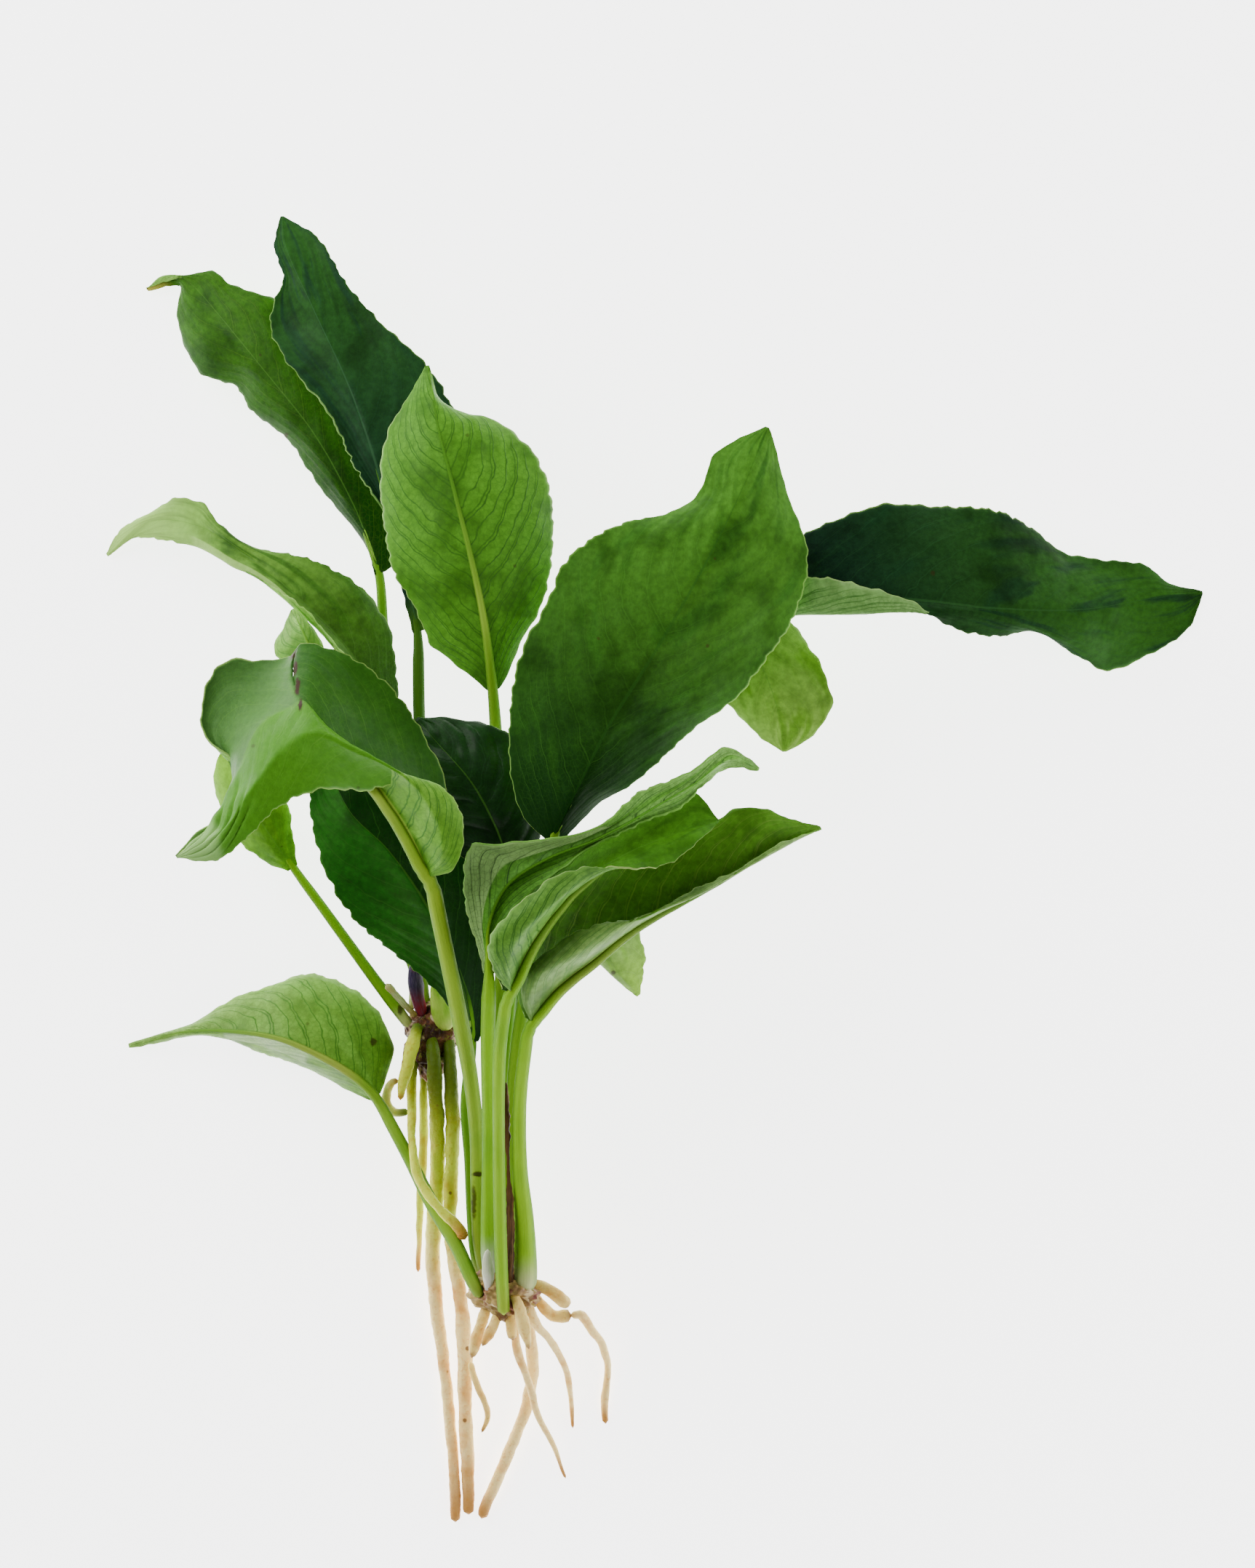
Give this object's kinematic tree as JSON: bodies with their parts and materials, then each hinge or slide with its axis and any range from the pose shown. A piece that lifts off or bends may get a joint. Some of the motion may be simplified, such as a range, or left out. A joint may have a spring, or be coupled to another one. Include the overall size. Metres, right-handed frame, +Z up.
{
  "type": "anubias plant",
  "caption": "Bare-root anubias water plant lying on a surface: broad pointed leaves on long stalks, rhizomes and pale roots.",
  "frame": {"origin": "centre of the plant's outline on the surface that it lies on", "axes": "+Z up from the surface, +Y from the root ends towards the leaf tips, +X to the right seen from above"},
  "size_m": [0.3018, 0.358, 0.1012],
  "materials": {
    "leaf_green": "waxy deep green leaf, fine veins",
    "leaf_dark": "dark blue-green leaf with a satin sheen",
    "leaf_yellow": "thin yellow-green leaf",
    "leaf_underside": "matt lighter underside with dark veins",
    "stalk": "smooth fluted green stalk, whitish at the foot",
    "root": "cream to tan root with brown specks",
    "rhizome": "pinkish-brown scarred rhizome",
    "sheath_purple": "dull purple-blue sheath with a red foot",
    "bud": "pale green bud, whitish at the foot",
    "dry_sheath": "dry brown papery sheath",
    "pale_sheath": "whitish pink papery sheath"
  },
  "bodies": {
    "root": {"blade_back_left": "leaf_yellow", "blade_back_dark": "leaf_dark", "blade_middle": "leaf_underside", "blade_big_front": "leaf_green", "blade_far_right": "leaf_dark", "blade_small_yellow": "leaf_yellow", "blade_long_left": "leaf_green", "blade_small_curled": "leaf_yellow", "blade_folded_front": "leaf_green", "blade_dark_left": "leaf_dark", "blade_wrinkled": "leaf_dark", "blade_rolled": "leaf_underside", "blade_folded_right": "leaf_green", "blade_right": "leaf_green", "blade_hanging": "leaf_green", "blade_lower_left": "leaf_underside", "blade_small_left": "leaf_yellow", "stalk_back_left": "stalk", "stalk_back_dark": "stalk", "stalk_middle": "stalk", "stalk_big_front": "stalk", "stalk_far_right": "stalk", "stalk_small_yellow": "stalk", "stalk_long_left": "stalk", "stalk_small_curled": "stalk", "stalk_folded_front": "stalk", "stalk_dark_left": "stalk", "stalk_wrinkled": "stalk", "stalk_rolled": "stalk", "stalk_folded_right": "stalk", "stalk_right": "stalk", "stalk_hanging": "stalk", "stalk_lower_left": "stalk", "stalk_small_left": "stalk", "root_stubby": "root", "root_knotted": "root", "root_left_long": "root", "root_right_long": "root", "root_pale_inner": "root", "root_loop": "root", "root_right_thin": "root", "root_faint": "root", "root_far_right": "root", "stub_long": "root", "stub_pink_left": "root", "stub_pink_right": "root", "stub_pointed": "root", "stub_branch_upper": "root", "stub_branch_lower": "root", "rootlet_brown": "root", "rootlet_hook": "root", "rhizome_upper": "rhizome", "rhizome_crown": "rhizome", "sheath_purple": "sheath_purple", "bud_green": "bud", "stalk_broken": "dry_sheath", "sheath_brown": "dry_sheath", "sheath_pale": "pale_sheath"}
  },
  "joints": []
}
